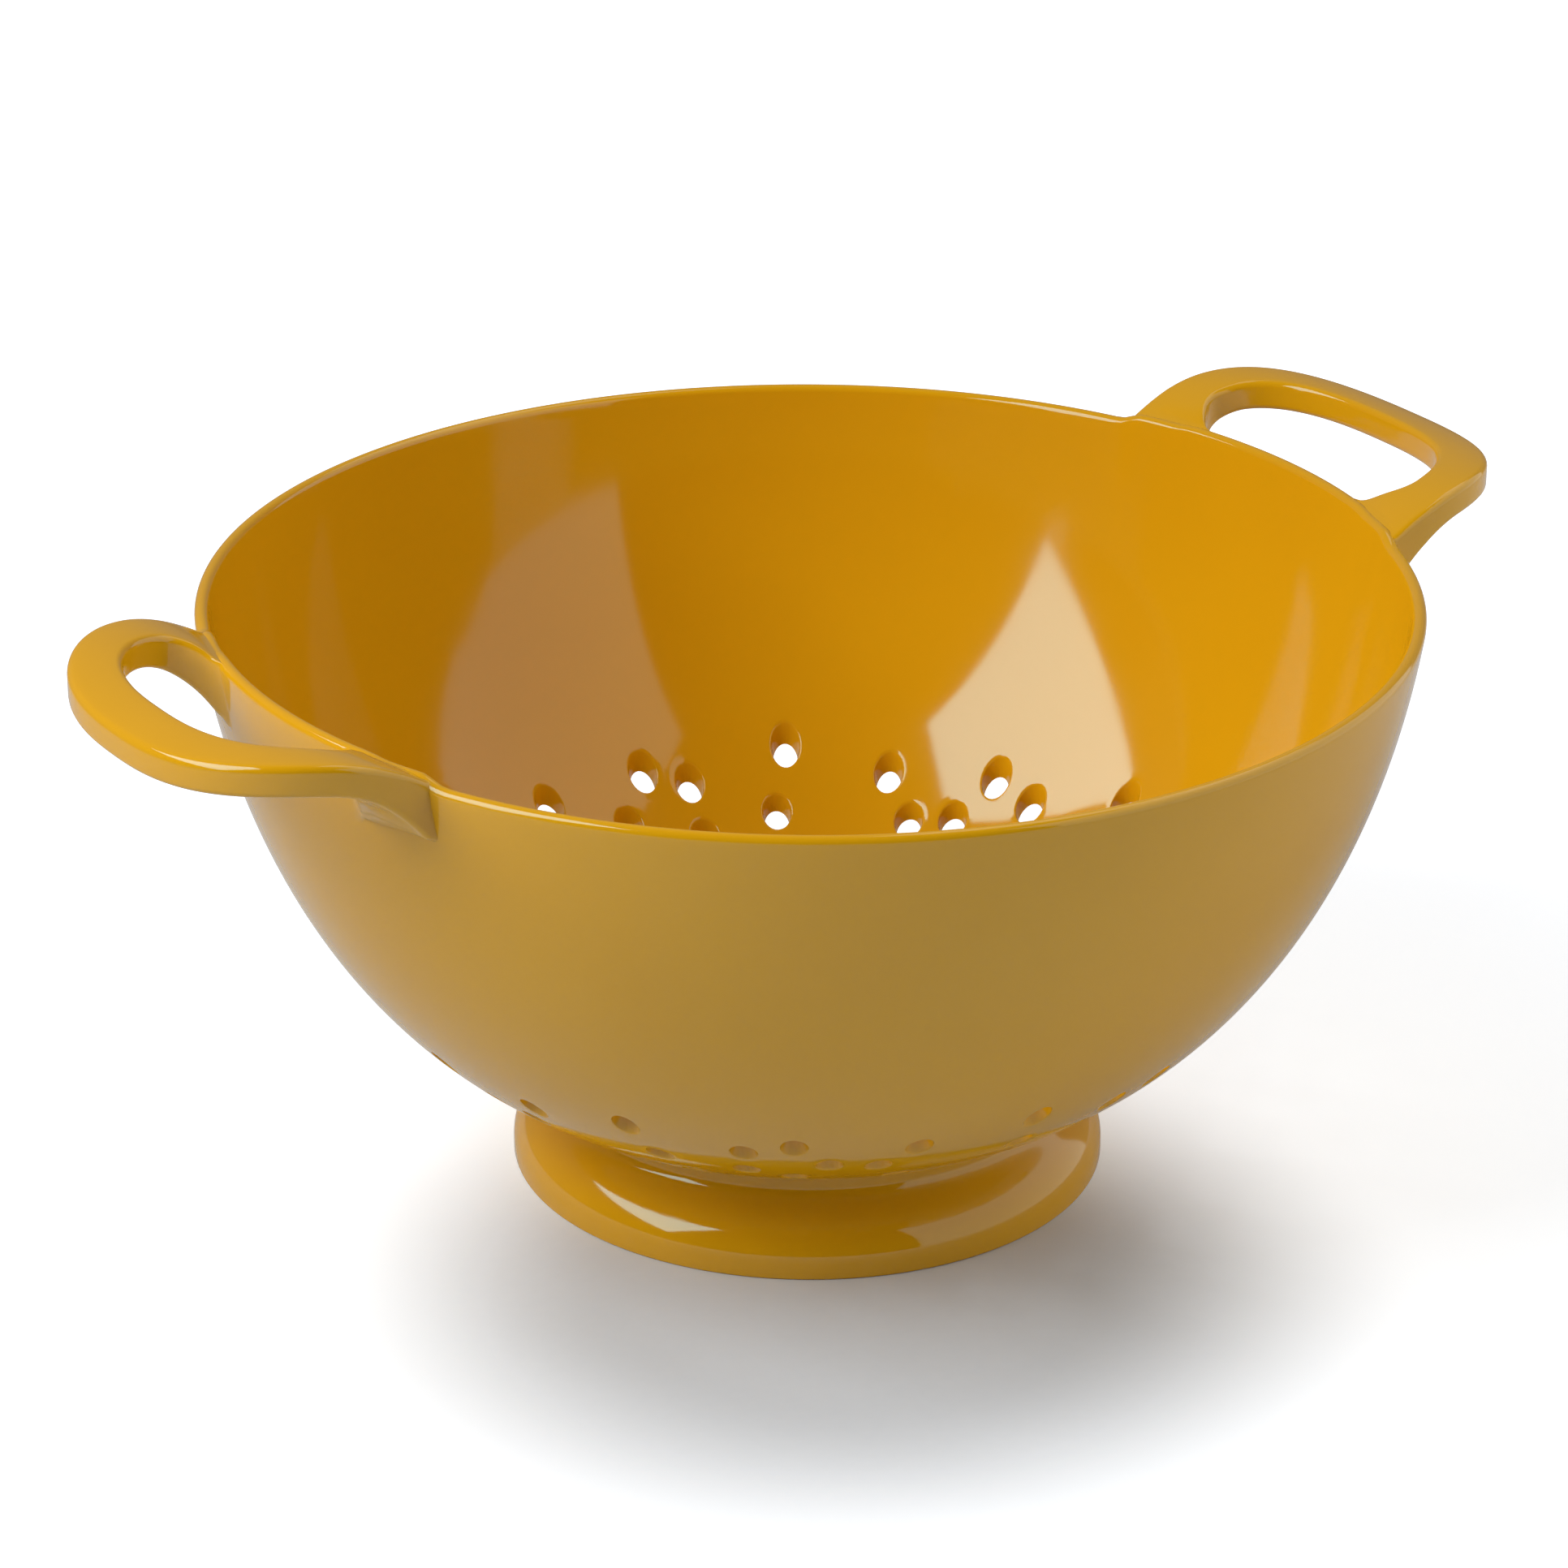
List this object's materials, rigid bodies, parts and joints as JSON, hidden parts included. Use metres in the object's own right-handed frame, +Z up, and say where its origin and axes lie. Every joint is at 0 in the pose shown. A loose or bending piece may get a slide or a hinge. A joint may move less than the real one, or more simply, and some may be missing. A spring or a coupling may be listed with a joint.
{
  "type": "melamine colander",
  "caption": "Deep round kitchen colander in glossy yellow melamine, with a loop handle on each side of the rim, scattered round drain holes in the lower bowl and a flared foot ring.",
  "frame": {"origin": "centre of the foot ring's resting face, on the table", "axes": "+Z up along the bowl's axis, +X along the line through the two handles"},
  "size_m": [0.306, 0.24, 0.1296],
  "materials": {
    "melamine": "glossy, press moulded, coloured through",
    "adhesive": "cured bead, satin"
  },
  "bodies": {
    "root": {"bowl": "melamine", "foot_ring": "melamine", "foot_bond": "adhesive"}
  },
  "joints": []
}
